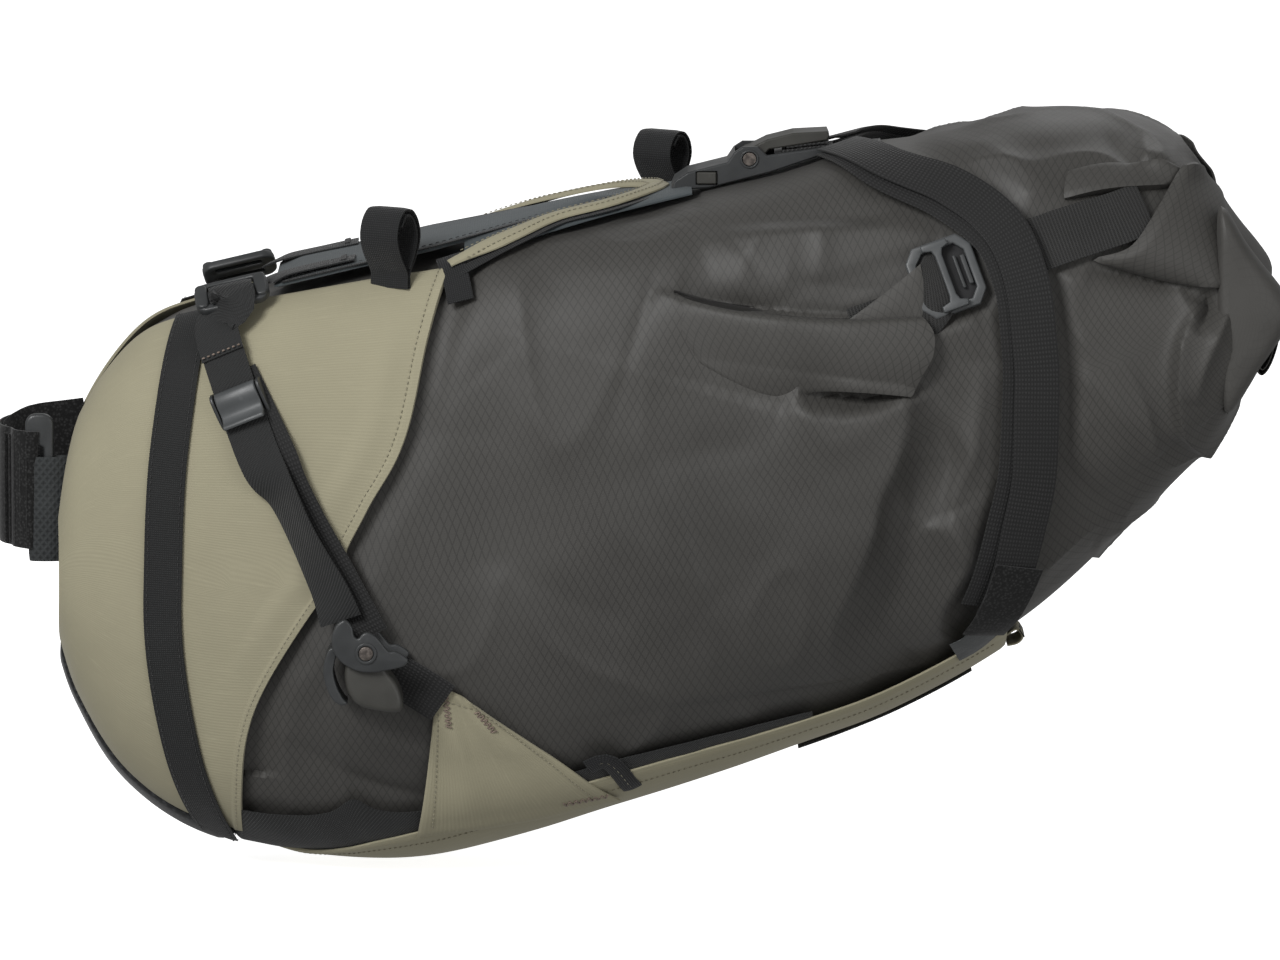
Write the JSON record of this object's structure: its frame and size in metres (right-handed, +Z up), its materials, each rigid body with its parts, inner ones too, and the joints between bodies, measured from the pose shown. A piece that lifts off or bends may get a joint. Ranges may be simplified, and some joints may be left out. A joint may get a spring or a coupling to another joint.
{
  "type": "saddle bag",
  "caption": "Holster-style bicycle saddle bag with a removable roll-top dry bag, webbing straps and lever buckles.",
  "frame": {"origin": "on the seatpost's axis, inside the holster's seatpost strap", "axes": "+X to the rear of the bicycle, +Y to the far side, +Z up, in riding position"},
  "size_m": [0.584, 0.2116, 0.3447],
  "materials": {
    "khaki": "matte",
    "slate": "matte",
    "ripstop": "matte",
    "webbing": "matte",
    "abrasion": "matte",
    "plastic": "satin",
    "lever_plastic": "satin",
    "steel": "satin",
    "rubber": "matte"
  },
  "bodies": {
    "holster": {"wing_near": "khaki", "wing_far": "khaki", "top_trim_near": "khaki", "top_trim_far": "khaki", "bottom_panel": "khaki", "tail_tab": "khaki", "top_panel": "slate", "dry_bag": "ripstop", "roll_top": "ripstop", "roll_end_near": "ripstop", "roll_end_far": "ripstop", "roll_webbing_near": "webbing", "roll_webbing_far": "webbing", "anchor_webbing_near": "webbing", "anchor_webbing_far": "webbing", "bottom_webbing": "webbing", "band_near": "webbing", "band_far": "webbing", "top_webbing_near": "webbing", "top_webbing_far": "webbing", "side_strap_near": "webbing", "side_strap_far": "webbing", "rear_strap_near": "webbing", "rear_strap_far": "webbing", "rear_strap_inner_near": "webbing", "rear_strap_inner_far": "webbing", "seatpost_strap": "webbing", "nose_plate": "abrasion", "abrasion_strip": "abrasion", "roll_stiffener": "plastic", "buckle_frame_near": "plastic", "buckle_frame_far": "plastic", "bottom_stiffener": "plastic", "top_buckle_base": "plastic", "top_buckle_pin": "steel", "seatpost_pad": "rubber", "seatpost_anchor": "rubber"},
    "ear_near": {"lower_ear_near": "khaki", "ear_webbing_near": "webbing", "cam_body_near": "plastic", "cam_pin_near": "steel"},
    "ear_far": {"lower_ear_far": "khaki", "ear_webbing_far": "webbing", "cam_body_far": "plastic", "cam_pin_far": "steel"},
    "cam_lever_near": {"cam_lever_near": "lever_plastic"},
    "cam_lever_far": {"cam_lever_far": "lever_plastic"},
    "top_lever": {"top_buckle_lever": "lever_plastic"},
    "top_button": {"top_buckle_button": "lever_plastic"},
    "hook_near": {"buckle_hook_near": "lever_plastic"},
    "hook_far": {"buckle_hook_far": "lever_plastic"},
    "keeper_near": {"strap_keeper_near": "plastic"},
    "keeper_far": {"strap_keeper_far": "plastic"},
    "ladder_lock_near": {"ladder_lock_near": "plastic"},
    "ladder_lock_far": {"ladder_lock_far": "plastic"},
    "seat_ring": {"seatpost_ring": "plastic"},
    "seat_tail": {"seatpost_strap_tail": "webbing"},
    "loop_front": {"loop_front": "webbing"},
    "loop_rear": {"loop_rear": "webbing"}
  },
  "joints": [
    {"name": "ear_fold_near", "type": "hinge", "parent": "holster", "child": "ear_near", "pos_m": [0.1711, -0.04663, -0.14499], "axis": [0.9811, 0.0967, 0.1676], "range_deg": [0, 40]},
    {"name": "ear_fold_far", "type": "hinge", "parent": "holster", "child": "ear_far", "pos_m": [0.1711, 0.04663, -0.14499], "axis": [-0.9811, 0.0967, -0.1676], "range_deg": [0, 40]},
    {"name": "cam_lever_near", "type": "hinge", "parent": "ear_near", "child": "cam_lever_near", "pos_m": [0.1495, -0.093, -0.055], "axis": [0, -1, 0], "range_deg": [0, 75]},
    {"name": "cam_lever_far", "type": "hinge", "parent": "ear_far", "child": "cam_lever_far", "pos_m": [0.1495, 0.093, -0.055], "axis": [0, -1, 0], "range_deg": [0, 75]},
    {"name": "top_lever", "type": "hinge", "parent": "holster", "child": "top_lever", "pos_m": [0.3225, 0, 0.1585], "axis": [0, -1, 0], "range_deg": [0, 75]},
    {"name": "top_button", "type": "slide", "parent": "holster", "child": "top_button", "axis": [0, 1, 0], "range_m": [0, 0.0014], "stiffness_N_per_m": 200, "springref_m": -0.001},
    {"name": "hook_swing_near", "type": "hinge", "parent": "holster", "child": "hook_near", "pos_m": [0.41689, -0.09126, 0.1147], "axis": [-0.3392, 0.2604, 0.9039], "range_deg": [0, 45]},
    {"name": "hook_swing_far", "type": "hinge", "parent": "holster", "child": "hook_far", "pos_m": [0.41689, 0.09126, 0.1147], "axis": [0.3392, 0.2604, -0.9039], "range_deg": [0, 45]},
    {"name": "keeper_slide_near", "type": "slide", "parent": "holster", "child": "keeper_near", "axis": [0.3266, -0.287, -0.9005], "range_m": [-0.014, 0.01]},
    {"name": "keeper_slide_far", "type": "slide", "parent": "holster", "child": "keeper_far", "axis": [0.3266, 0.287, -0.9005], "range_m": [-0.014, 0.01]},
    {"name": "ladder_lock_tilt_near", "type": "hinge", "parent": "holster", "child": "ladder_lock_near", "pos_m": [0.088, -0.048, 0.101], "axis": [0.9735, 0, 0.2287], "range_deg": [-8, 6]},
    {"name": "ladder_lock_tilt_far", "type": "hinge", "parent": "holster", "child": "ladder_lock_far", "pos_m": [0.088, 0.048, 0.101], "axis": [-0.9735, 0, -0.2287], "range_deg": [-8, 6]},
    {"name": "seat_ring_swing", "type": "hinge", "parent": "holster", "child": "seat_ring", "pos_m": [0.0034, -0.023, 0.001], "axis": [0, 0, 1], "range_deg": [0, 25]},
    {"name": "seat_strap_open", "type": "hinge", "parent": "seat_ring", "child": "seat_tail", "pos_m": [-0.0054, -0.023, 0.001], "axis": [0, 0, 1], "range_deg": [0, 100]},
    {"name": "loop_front_tilt", "type": "hinge", "parent": "holster", "child": "loop_front", "pos_m": [0.16, -0.058, 0.10714], "axis": [0.9511, -0.309, 0], "range_deg": [-20, 20]},
    {"name": "loop_rear_tilt", "type": "hinge", "parent": "holster", "child": "loop_rear", "pos_m": [0.283, 0.056, 0.13583], "axis": [0.9511, -0.309, 0], "range_deg": [-20, 20]}
  ]
}
